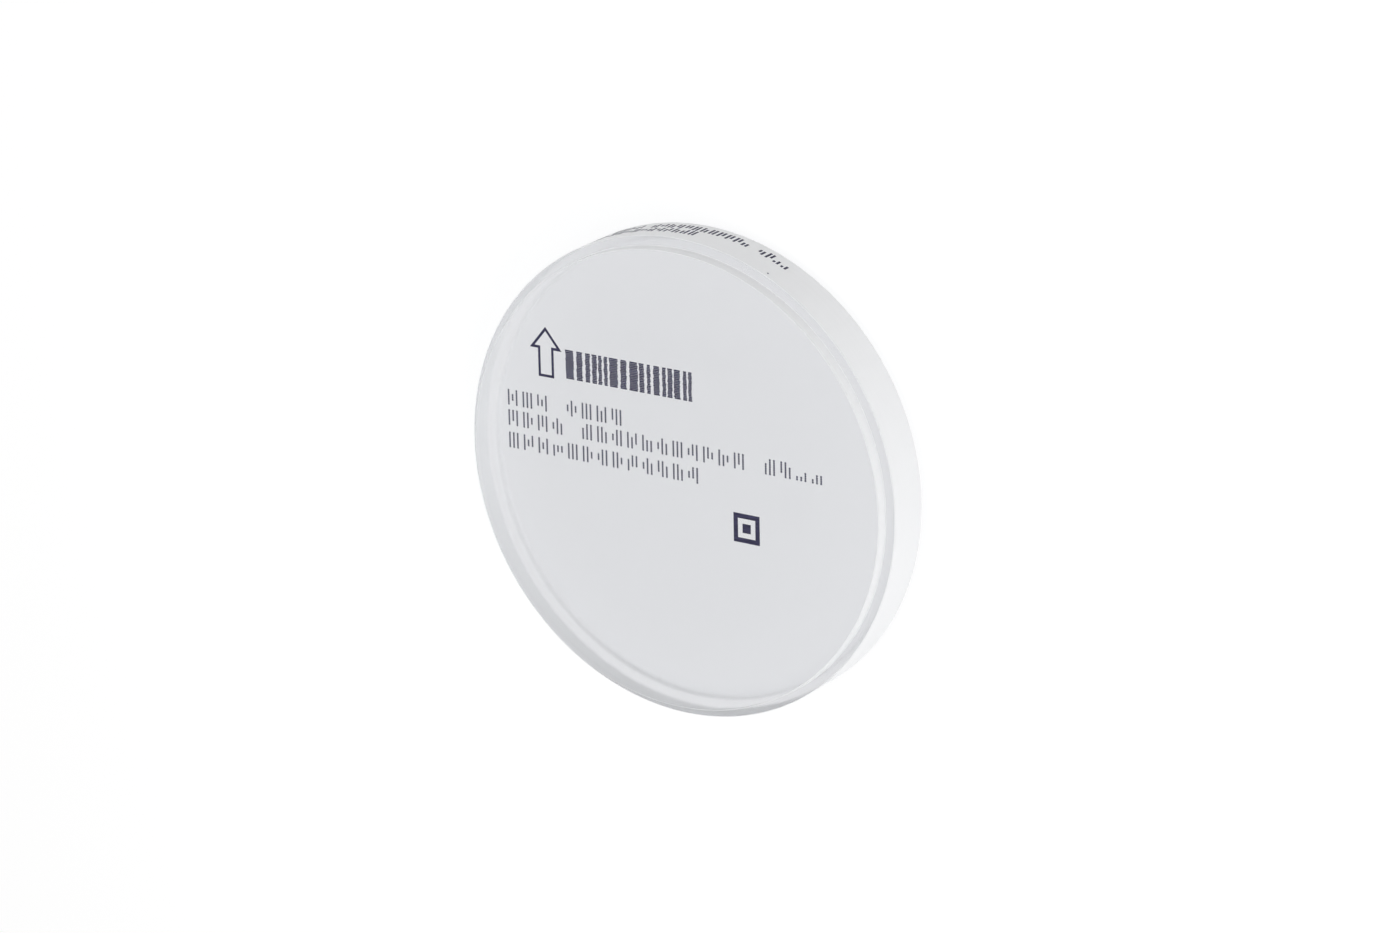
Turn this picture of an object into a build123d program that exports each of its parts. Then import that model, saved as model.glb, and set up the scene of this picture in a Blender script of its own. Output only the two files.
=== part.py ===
from build123d import *
import os

# A dental milling disc: one clear cast acrylic blank, turned with a step on each side.
# A milling machine's ring holder goes round the rim and clamps on the two steps.
# Origin: centre of the back face. +Z points up through the front face.

# Driving dimensions in millimetres
rim_diameter = 98.5
rim_thickness = 10.0
step_width = 2.15
step_height = 2.5
root_radius = 0.3
face_edge_break = 0.25
rim_edge_break = 0.2

# Sizes that follow from them
rim_radius = rim_diameter / 2
boss_radius = rim_radius - step_width
disc_thickness = rim_thickness + 2 * step_height
mid_height = disc_thickness / 2

with BuildPart() as milling_disc:
    # Half of the turned section, from the axis out to the rim
    with BuildSketch(Plane.XZ):
        with Locations((0, mid_height)):
            Rectangle(boss_radius, disc_thickness, align=(Align.MIN, Align.CENTER))
            Rectangle(rim_radius, rim_thickness, align=(Align.MIN, Align.CENTER))
    revolve(axis=Axis.Z)

    # The turned corners: two circles on the rim, and a face edge and a root on each boss
    circles = milling_disc.edges().filter_by(GeomType.CIRCLE)
    boss_circles, rim_circles = circles.group_by(SortBy.RADIUS)
    back_face_edge, back_root, front_root, front_face_edge = boss_circles.sort_by(Axis.Z)

    fillet([back_root, front_root], root_radius)
    chamfer([back_face_edge, front_face_edge], face_edge_break)
    chamfer(rim_circles, rim_edge_break)

milling_disc.part.label = "milling_disc"

os.makedirs("parts", exist_ok=True)
export_step(milling_disc.part, "parts/milling_disc.step")
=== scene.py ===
import math
import random
from collections import namedtuple

import bpy
from mathutils import Matrix, Vector


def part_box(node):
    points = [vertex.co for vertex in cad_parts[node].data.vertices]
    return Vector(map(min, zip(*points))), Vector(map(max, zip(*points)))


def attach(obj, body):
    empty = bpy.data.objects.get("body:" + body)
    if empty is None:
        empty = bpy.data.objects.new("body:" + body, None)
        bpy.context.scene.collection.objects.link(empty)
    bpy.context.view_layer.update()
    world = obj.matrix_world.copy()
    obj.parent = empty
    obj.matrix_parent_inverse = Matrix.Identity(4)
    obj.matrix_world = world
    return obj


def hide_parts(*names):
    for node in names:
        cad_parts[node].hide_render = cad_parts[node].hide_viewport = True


# Sizes are in millimetres, as in the CAD model, and MM turns them into metres.
# X is the print's right, Y its top, and Z comes up out of the front face.
MM = 0.001

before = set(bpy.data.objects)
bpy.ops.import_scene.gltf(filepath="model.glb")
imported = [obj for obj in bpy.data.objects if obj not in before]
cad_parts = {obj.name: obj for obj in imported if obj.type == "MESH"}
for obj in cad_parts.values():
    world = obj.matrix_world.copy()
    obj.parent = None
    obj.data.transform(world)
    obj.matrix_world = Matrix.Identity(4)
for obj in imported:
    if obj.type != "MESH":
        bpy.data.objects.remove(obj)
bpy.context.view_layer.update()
disc_low, disc_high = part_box("milling_disc")

# The turned section. The rim and the thickness are the CAD node's own, and the corners are
# a little finer than its corners.
RIM_RADIUS = disc_high[0] / MM
DISC_THICKNESS = disc_high[2] / MM
STEP_WIDTH = 2.15
STEP_HEIGHT = 2.5
ROOT_RADIUS = 0.2
FACE_EDGE_BREAK = 0.15
RIM_EDGE_BREAK = 0.15
BOSS_RADIUS = RIM_RADIUS - STEP_WIDTH

# How finely the section is turned: steps round the axis and in each corner, and the narrow
# flat beside each corner that keeps its shading off the faces
TURNS = 360
CORNER_STEPS = 4
CORNER_FLAT = 0.04

# A mesh face whose normal's Z is over the first is on a flat face or step, and one whose
# normal's Z is under the second is on a wall. The rest are on the corners.
FACE_LEAN = 0.999
WALL_LEAN = 0.01

# The print. U runs to its right and V to its top, from the disc's centre.
PRINT_TURN = math.radians(1.2)
INK_RAISE = 0.008
INK_SINK = 0.02
INK_SEED = 11

# An outlined arrow
ARROW_CENTRE = (-29.3, 22.1)
ARROW_WIDTH = 7.6
ARROW_HEIGHT = 10.4
ARROW_HEAD = 4.6
ARROW_SHAFT = 3.7
ARROW_STROKE = 0.55

# A strip of upright bars, put down in raster lines with slightly ragged ends
STRIP_LEFT = -24.6
STRIP_RIGHT = 5.2
STRIP_BOTTOM = 17.4
RASTER_LINES = 17
RASTER_PITCH = 0.353
RASTER_LINE = 0.31
RASTER_RAGGED = 0.1
BAR_WIDTHS = (0.8, 1.1, 1.4, 1.9)
BAR_GAPS = (0.4, 0.5, 0.7)

# Rows of dotted ticks, in cells. T is a cell of tall ticks, L one of low ticks.
Grid = namedtuple("Grid", "cell_pitch ticks tick_pitch dot_pitch dot_width dot_height")
FACE_GRID = Grid(3.55, 3, 0.95, 0.47, 0.38, 0.4)
ROW_LEFT = -38.8
ROWS = ((9.7, "TTT TTTT"), (5.45, "TTTT TTTTTTTTTTT TTLL"), (0.75, "TTTTTTTTTTTTT"))

# The ticks that a cell draws from: the lowest dot of each, and the one after its highest
TALL_TICKS = ((0, 7), (0, 7), (0, 7), (0, 5), (2, 7), (2, 5))
LOW_TICKS = ((0, 4), (0, 4), (0, 2))

# A square inside a square frame
SQUARE_CENTRE = (17.15, -6.6)
SQUARE_SIZE = 6.0
SQUARE_STROKE = 1.0
SQUARE_CORE = 1.9

# Like rows round the rim, smaller. Their right end is given by its compass angle from X.
RIM_GRID = Grid(1.9, 2, 0.82, 0.36, 0.5, 0.35)
RIM_ROWS = ((64.8, 6.55, "TTTT TTTTTTTTTTTL TTLL"), (88.0, 9.45, "TTTTTTTTTTTTT"))
SPECK_TURN = 66.8
SPECK_HEIGHT = 11.5
SPECK_SIZE = 0.35

# The camera, as fitted to the photograph's outlines. It looks along the line to the middle of
# the front step, from a place that is shifted to its right and up.
PHOTO_WIDTH = 1400
FOCAL_PIXELS = 5000
SENSOR_WIDTH = 36.0
CAMERA_TURN = math.radians(32.95)
CAMERA_RISE = math.radians(19.67)
CAMERA_DISTANCE = 979.8
CAMERA_RIGHT = 4.085
CAMERA_UP = 2.40

# The studio: a pale floor, and a sky that is brighter towards WORLD_AIM
FLOOR_COLOUR = 0.9
FLOOR_GLOW = 0.14
FLOOR_GAP = 0.05
FLOOR_RADIUS = 3000
FLOOR_CORNERS = 64
WORLD_AIM = (0.94, -0.34, 0.0)
WORLD_SLOPE = 0.32
WORLD_LEVEL = 0.55

# The lamps. turn is the compass angle from X that a lamp's light comes from, and rise its
# height, both in degrees. size is in millimetres and power in watts.
Lamp = namedtuple("Lamp", "name turn rise size power")
LAMPS = (Lamp("key", 340, 40, 800, 8), Lamp("top", 100, 75, 900, 6))
LAMP_DISTANCE = 1500

# How often light may bounce, in all, off gloss and through the acrylic
MOST_BOUNCES = 24
GLOSSY_BOUNCES = 16
TRANSMISSION_BOUNCES = 16

# A noise texture's detail, and where its lowest and highest marks lie in its range from 0 to 1
NOISE_DETAIL = 2.0
NOISE_RANGE = (0.3, 0.7)

# A finish: its colour and roughness, how far each strays with the marks, the scale of the
# marks along X, Y and Z, per metre, and their relief in millimetres. The marks are wide faint
# patches on the faces, fine lines round the turned walls, and streaks along the ink.
Finish = namedtuple("Finish", "colour tone roughness drift marks relief")
FACES = Finish((0.837, 0.839, 0.856), 0.002, 0.26, 0.01, (25, 25, 25), 0.0005)
WALLS = Finish((0.915, 0.92, 0.93), 0.01, 0.6, 0.05, (20, 20, 4000), 0.001)
# The steps: the faces' finish with a darker colour, painted shade that darkens the more brightly lit
# floor seen through them
SHADED_STEPS = FACES._replace(colour=(0.775, 0.777, 0.795))
CORNERS = WALLS._replace(colour=(0.9, 0.905, 0.915))
INK = Finish((0.038, 0.036, 0.077), 0.4, 0.55, 0.1, (300, 3000, 3000), 0.003)
INK_SPECULAR = 0.25

# The acrylic's refractive index, how clear its walls and corners are, where its faces are 1,
# and its tints in the light that crosses it
ACRYLIC_IOR = 1.49
WALL_TRANSMISSION = 0.22
CORNER_TRANSMISSION = 0.65
FACE_TINT = (0.91, 0.915, 0.92)
WALL_TINT = (0.97, 0.975, 0.98)


def new_material(name):
    material = bpy.data.materials.new(name)
    material.use_nodes = True
    return material, material.node_tree


def math_node(tree, operation, *values):
    """A Math node on values that are each a number or another node's output."""
    node = tree.nodes.new("ShaderNodeMath")
    node.operation = operation
    for socket, value in zip(node.inputs, values):
        if isinstance(value, (int, float)):
            socket.default_value = value
        else:
            tree.links.new(value, socket)
    return node.outputs[0]


def new_piece(name, points, faces, materials):
    """A mesh object from points in millimetres."""
    mesh = bpy.data.meshes.new(name)
    mesh.from_pydata([Vector(p) * MM for p in points], [], faces)
    for material in materials:
        mesh.materials.append(material)
    piece = bpy.data.objects.new(name, mesh)
    bpy.context.collection.objects.link(piece)
    return piece


# Camera and studio


def make_camera():
    back = Vector(
        (
            math.sin(CAMERA_TURN) * math.cos(CAMERA_RISE),
            math.sin(CAMERA_RISE),
            math.cos(CAMERA_TURN) * math.cos(CAMERA_RISE),
        )
    )
    right = Vector((math.cos(CAMERA_TURN), 0, -math.sin(CAMERA_TURN)))
    up = back.cross(right)
    aim = Vector((0, 0, DISC_THICKNESS - STEP_HEIGHT))
    place = aim + back * CAMERA_DISTANCE + right * CAMERA_RIGHT + up * CAMERA_UP
    data = bpy.data.cameras.new("camera")
    data.sensor_width = SENSOR_WIDTH
    data.lens = FOCAL_PIXELS * SENSOR_WIDTH / PHOTO_WIDTH
    camera = bpy.data.objects.new("camera", data)
    turn = Matrix((right, up, back)).transposed().to_4x4()
    camera.matrix_world = Matrix.Translation(place * MM) @ turn
    bpy.context.collection.objects.link(camera)
    bpy.context.scene.camera = camera


def make_world():
    world = bpy.data.worlds.new("studio")
    world.use_nodes = True
    bpy.context.scene.world = world
    tree = world.node_tree
    tree.nodes.clear()
    place = tree.nodes.new("ShaderNodeTexCoord")
    aim = tree.nodes.new("ShaderNodeVectorMath")
    aim.operation = "DOT_PRODUCT"
    aim.inputs[1].default_value = WORLD_AIM
    tree.links.new(place.outputs["Generated"], aim.inputs[0])
    level = math_node(tree, "MULTIPLY_ADD", aim.outputs["Value"], WORLD_SLOPE, WORLD_LEVEL)
    path = tree.nodes.new("ShaderNodeLightPath")
    strength = math_node(tree, "MAXIMUM", level, path.outputs["Is Camera Ray"])
    sky = tree.nodes.new("ShaderNodeBackground")
    tree.links.new(strength, sky.inputs["Strength"])
    out = tree.nodes.new("ShaderNodeOutputWorld")
    tree.links.new(sky.outputs[0], out.inputs["Surface"])
    sky.inputs["Color"].default_value = (1, 1, 1, 1)


def floor_material():
    """Pale paper that reads as white to the camera, in reflections and through the disc."""
    material, tree = new_material("floor")
    tree.nodes.clear()
    path = tree.nodes.new("ShaderNodeLightPath")
    seen = math_node(tree, "MAXIMUM", path.outputs["Is Camera Ray"], path.outputs["Is Glossy Ray"])
    seen = math_node(tree, "MAXIMUM", seen, path.outputs["Is Transmission Ray"])
    glow = tree.nodes.new("ShaderNodeEmission")
    tree.links.new(math_node(tree, "MULTIPLY", seen, FLOOR_GLOW), glow.inputs["Strength"])
    paper = tree.nodes.new("ShaderNodeBsdfDiffuse")
    paper.inputs["Color"].default_value = (FLOOR_COLOUR, FLOOR_COLOUR, FLOOR_COLOUR, 1)
    both = tree.nodes.new("ShaderNodeAddShader")
    tree.links.new(paper.outputs[0], both.inputs[0])
    tree.links.new(glow.outputs[0], both.inputs[1])
    out = tree.nodes.new("ShaderNodeOutputMaterial")
    tree.links.new(both.outputs[0], out.inputs["Surface"])
    return material


def make_floor():
    turns = [math.tau * i / FLOOR_CORNERS for i in range(FLOOR_CORNERS)]
    points = [(FLOOR_RADIUS * math.cos(a), FLOOR_RADIUS * math.sin(a), -FLOOR_GAP) for a in turns]
    new_piece("floor", points, [range(FLOOR_CORNERS)], [floor_material()])


def make_lamp(lamp):
    """A round soft lamp aimed at the disc."""
    turn, rise = math.radians(lamp.turn), math.radians(lamp.rise)
    way = Vector((math.cos(turn) * math.cos(rise), math.sin(turn) * math.cos(rise), math.sin(rise)))
    data = bpy.data.lights.new(lamp.name, "AREA")
    data.shape = "DISK"
    data.size = lamp.size * MM
    data.energy = lamp.power
    light = bpy.data.objects.new(lamp.name, data)
    light.rotation_mode = "QUATERNION"
    light.rotation_quaternion = (-way).to_track_quat("-Z", "Y")
    light.location = way * LAMP_DISTANCE * MM
    bpy.context.collection.objects.link(light)


# Materials


def finished(name, finish):
    """A material whose tone, roughness and fine relief all follow its finish's marks."""
    material, tree = new_material(name)
    shader = tree.nodes["Principled BSDF"]
    place = tree.nodes.new("ShaderNodeTexCoord")
    stretch = tree.nodes.new("ShaderNodeMapping")
    stretch.inputs["Scale"].default_value = finish.marks
    tree.links.new(place.outputs["Object"], stretch.inputs["Vector"])
    noise = tree.nodes.new("ShaderNodeTexNoise")
    noise.inputs["Scale"].default_value = 1.0
    noise.inputs["Detail"].default_value = NOISE_DETAIL
    tree.links.new(stretch.outputs["Vector"], noise.inputs["Vector"])
    level = noise.outputs[0]
    tones = tree.nodes.new("ShaderNodeValToRGB")
    for element, place_in_ramp, stray in zip(tones.color_ramp.elements, NOISE_RANGE, (-1, 1)):
        element.position = place_in_ramp
        element.color = (*(tone * (1 + stray * finish.tone) for tone in finish.colour), 1)
    tree.links.new(level, tones.inputs["Fac"])
    tree.links.new(tones.outputs["Color"], shader.inputs["Base Color"])
    rough = tree.nodes.new("ShaderNodeMapRange")
    rough.inputs["From Min"].default_value, rough.inputs["From Max"].default_value = NOISE_RANGE
    rough.inputs["To Min"].default_value = finish.roughness - finish.drift
    rough.inputs["To Max"].default_value = finish.roughness + finish.drift
    tree.links.new(level, rough.inputs["Value"])
    tree.links.new(rough.outputs["Result"], shader.inputs["Roughness"])
    bump = tree.nodes.new("ShaderNodeBump")
    bump.inputs["Distance"].default_value = finish.relief * MM
    tree.links.new(level, bump.inputs["Height"])
    tree.links.new(bump.outputs["Normal"], shader.inputs["Normal"])
    return material, tree, shader


def acrylic(name, finish, tint, transmission=1.0):
    """Clear acrylic. Light for what lies under it goes straight through, in its tint."""
    material, tree, shader = finished(name, finish)
    shader.inputs["IOR"].default_value = ACRYLIC_IOR
    shader.inputs["Transmission Weight"].default_value = transmission
    clear = tree.nodes.new("ShaderNodeBsdfTransparent")
    clear.inputs["Color"].default_value = (*tint, 1)
    path = tree.nodes.new("ShaderNodeLightPath")
    lamp_ray = math_node(tree, "MAXIMUM", path.outputs["Is Shadow Ray"], path.outputs["Is Diffuse Ray"])
    mix = tree.nodes.new("ShaderNodeMixShader")
    tree.links.new(lamp_ray, mix.inputs[0])
    tree.links.new(shader.outputs[0], mix.inputs[1])
    tree.links.new(clear.outputs[0], mix.inputs[2])
    tree.links.new(mix.outputs[0], tree.nodes["Material Output"].inputs["Surface"])
    return material


def acrylics():
    """The disc's finishes: polished faces, steps in the same polished acrylic darkened as painted
    shade, turned walls, and the eased corners between.
    """
    return (
        acrylic("polished_acrylic", FACES, FACE_TINT),
        acrylic("painted_shade_step_acrylic", SHADED_STEPS, FACE_TINT),
        acrylic("turned_acrylic", WALLS, WALL_TINT, WALL_TRANSMISSION),
        acrylic("eased_acrylic", CORNERS, WALL_TINT, CORNER_TRANSMISSION),
    )


def ink():
    """Dark blue-grey printing ink."""
    material, _, shader = finished("ink", INK)
    shader.inputs["Specular IOR Level"].default_value = INK_SPECULAR
    return material


# The disc


def corner(centre, radius, start, end):
    """Points round a corner of the section, from one angle to the other, in degrees."""
    r, z = centre
    points = []
    for i in range(CORNER_STEPS + 1):
        angle = math.radians(start + (end - start) * i / CORNER_STEPS)
        points.append((r + radius * math.cos(angle), z + radius * math.sin(angle)))
    return points


def section():
    """The turned section from the back face, round the rim, to the front face."""
    half = [
        (BOSS_RADIUS - FACE_EDGE_BREAK - CORNER_FLAT, 0),
        *corner((BOSS_RADIUS - FACE_EDGE_BREAK, FACE_EDGE_BREAK), FACE_EDGE_BREAK, -90, 0),
        (BOSS_RADIUS, FACE_EDGE_BREAK + CORNER_FLAT),
        (BOSS_RADIUS, STEP_HEIGHT - ROOT_RADIUS - CORNER_FLAT),
        *corner((BOSS_RADIUS + ROOT_RADIUS, STEP_HEIGHT - ROOT_RADIUS), ROOT_RADIUS, 180, 90),
        (BOSS_RADIUS + ROOT_RADIUS + CORNER_FLAT, STEP_HEIGHT),
        (RIM_RADIUS - RIM_EDGE_BREAK - CORNER_FLAT, STEP_HEIGHT),
        *corner((RIM_RADIUS - RIM_EDGE_BREAK, STEP_HEIGHT + RIM_EDGE_BREAK), RIM_EDGE_BREAK, -90, 0),
        (RIM_RADIUS, STEP_HEIGHT + RIM_EDGE_BREAK + CORNER_FLAT),
    ]
    return half + [(r, DISC_THICKNESS - z) for r, z in reversed(half)]


def make_disc():
    outline = section()
    step, last = len(outline), len(outline) - 1
    points = []
    for i in range(TURNS):
        c, s = math.cos(math.tau * i / TURNS), math.sin(math.tau * i / TURNS)
        points += [(r * c, r * s, z) for r, z in outline]
    points += [(0, 0, 0), (0, 0, DISC_THICKNESS)]
    back, front = len(points) - 2, len(points) - 1
    faces = []
    for i in range(TURNS):
        a, b = i * step, (i + 1) % TURNS * step
        faces += [(a + k, b + k, b + k + 1, a + k + 1) for k in range(last)]
        faces.append((back, b, a))
        faces.append((front, a + last, b + last))
    disc = new_piece("disc", points, faces, acrylics())
    polished, shaded_step, turned, eased = range(4)
    for face in disc.data.polygons:
        face.use_smooth = True
        lean = abs(face.normal.z)
        if lean > FACE_LEAN:
            # Flat faces out on the step take the darker copy of the face acrylic, which is painted
            # shade
            on_step = face.center.xy.length > BOSS_RADIUS * MM
            face.material_index = shaded_step if on_step else polished
        elif lean < WALL_LEAN:
            face.material_index = turned
        else:
            face.material_index = eased
    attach(disc, "root")
    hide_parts("milling_disc")


# The print


def on_face(u, v, height):
    """A point of the print on the front face."""
    c, s = math.cos(PRINT_TURN), math.sin(PRINT_TURN)
    return u * c - v * s, u * s + v * c, DISC_THICKNESS + height


def on_rim(right_turn, bottom):
    """A place function for print round the rim, whose tops point to the back face."""

    def place(u, v, height):
        turn = math.radians(right_turn) - u / RIM_RADIUS
        radius = RIM_RADIUS + height
        return radius * math.cos(turn), radius * math.sin(turn), bottom - v

    return place


def box(left, bottom, width, height):
    right, top = left + width, bottom + height
    return [(left, bottom), (right, bottom), (right, top), (left, top)]


def make_ink(name, outlines, place, material):
    """One piece of print: low blocks sunk a little into the surface, with no wall where two meet."""
    spots = {}
    for outline in outlines:
        for spot in outline:
            spots.setdefault(spot, len(spots))
    count = len(spots)
    points = [place(u, v, -INK_SINK) for u, v in spots]
    points += [place(u, v, INK_RAISE) for u, v in spots]
    faces = []
    edges = set()
    for outline in outlines:
        ring = [spots[spot] for spot in outline]
        faces.append(ring[::-1])
        faces.append([count + i for i in ring])
        edges.update(zip(ring, ring[1:] + ring[:1]))
    faces += [(a, b, b + count, a + count) for a, b in sorted(edges) if (b, a) not in edges]
    piece = new_piece(name, points, faces, [material])
    piece.visible_shadow = False
    piece.visible_diffuse = False
    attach(piece, "root")


def stroke_round(outline, stroke):
    """Quads that follow a closed outline, each as wide as the stroke and inside it."""
    count = len(outline)
    corners = [Vector(p) for p in outline]
    inner = []
    for i in range(count):
        before = (corners[i] - corners[i - 1]).normalized()
        after = (corners[(i + 1) % count] - corners[i]).normalized()
        inward = Vector((-before.y, before.x)) + Vector((-after.y, after.x))
        reach = 2 * stroke / inward.length_squared
        inner.append(corners[i] + inward * reach)
    quads = []
    for i in range(count):
        j = (i + 1) % count
        quads.append([tuple(corners[i]), tuple(corners[j]), tuple(inner[j]), tuple(inner[i])])
    return quads


def arrow():
    u, v = ARROW_CENTRE
    half, shaft = ARROW_WIDTH / 2, ARROW_SHAFT / 2
    top, bottom = v + ARROW_HEIGHT / 2, v - ARROW_HEIGHT / 2
    neck = top - ARROW_HEAD
    outline = [
        (u, top),
        (u - half, neck),
        (u - shaft, neck),
        (u - shaft, bottom),
        (u + shaft, bottom),
        (u + shaft, neck),
        (u + half, neck),
    ]
    return stroke_round(outline, ARROW_STROKE)


def bar_strip(draw):
    bars = []
    left = STRIP_LEFT
    while left < STRIP_RIGHT - min(BAR_WIDTHS):
        width = min(draw.choice(BAR_WIDTHS), STRIP_RIGHT - left)
        for line in range(RASTER_LINES):
            start = left + draw.uniform(-RASTER_RAGGED, RASTER_RAGGED)
            end = left + width + draw.uniform(-RASTER_RAGGED, RASTER_RAGGED)
            bottom = STRIP_BOTTOM + line * RASTER_PITCH
            bars.append(box(start, bottom, end - start, RASTER_LINE))
        left += width + draw.choice(BAR_GAPS)
    return bars


def tick_row(draw, cells, left, bottom, grid):
    """A row of cells, each of a few upright ticks that are made of dots."""
    dots = []
    for i, kind in enumerate(cells):
        if kind == " ":
            continue
        for tick in range(grid.ticks):
            low, high = draw.choice(TALL_TICKS if kind == "T" else LOW_TICKS)
            u = left + i * grid.cell_pitch + tick * grid.tick_pitch
            for dot in range(low, high):
                v = bottom + dot * grid.dot_pitch
                dots.append(box(u, v, grid.dot_width, grid.dot_height))
    return dots


def square_mark():
    u, v = SQUARE_CENTRE
    half, core = SQUARE_SIZE / 2, SQUARE_CORE / 2
    frame_quads = stroke_round(box(u - half, v - half, SQUARE_SIZE, SQUARE_SIZE), SQUARE_STROKE)
    return frame_quads + [box(u - core, v - core, SQUARE_CORE, SQUARE_CORE)]


def make_print():
    draw = random.Random(INK_SEED)
    material = ink()
    make_ink("arrow_mark", arrow(), on_face, material)
    make_ink("bar_strip", bar_strip(draw), on_face, material)
    rows = [tick_row(draw, cells, ROW_LEFT, bottom, FACE_GRID) for bottom, cells in ROWS]
    make_ink("tick_rows", sum(rows, []), on_face, material)
    make_ink("square_mark", square_mark(), on_face, material)
    for number, (right_turn, bottom, cells) in enumerate(RIM_ROWS, 1):
        dots = tick_row(draw, cells, -len(cells) * RIM_GRID.cell_pitch, 0, RIM_GRID)
        make_ink(f"rim_ticks_{number}", dots, on_rim(right_turn, bottom), material)
    speck = [box(0, 0, SPECK_SIZE, SPECK_SIZE)]
    make_ink("rim_speck", speck, on_rim(SPECK_TURN, SPECK_HEIGHT), material)


make_camera()
make_world()
make_floor()
for lamp in LAMPS:
    make_lamp(lamp)
make_disc()
make_print()

scene = bpy.context.scene
scene.view_settings.view_transform = "Standard"
scene.cycles.max_bounces = MOST_BOUNCES
scene.cycles.glossy_bounces = GLOSSY_BOUNCES
scene.cycles.transmission_bounces = TRANSMISSION_BOUNCES
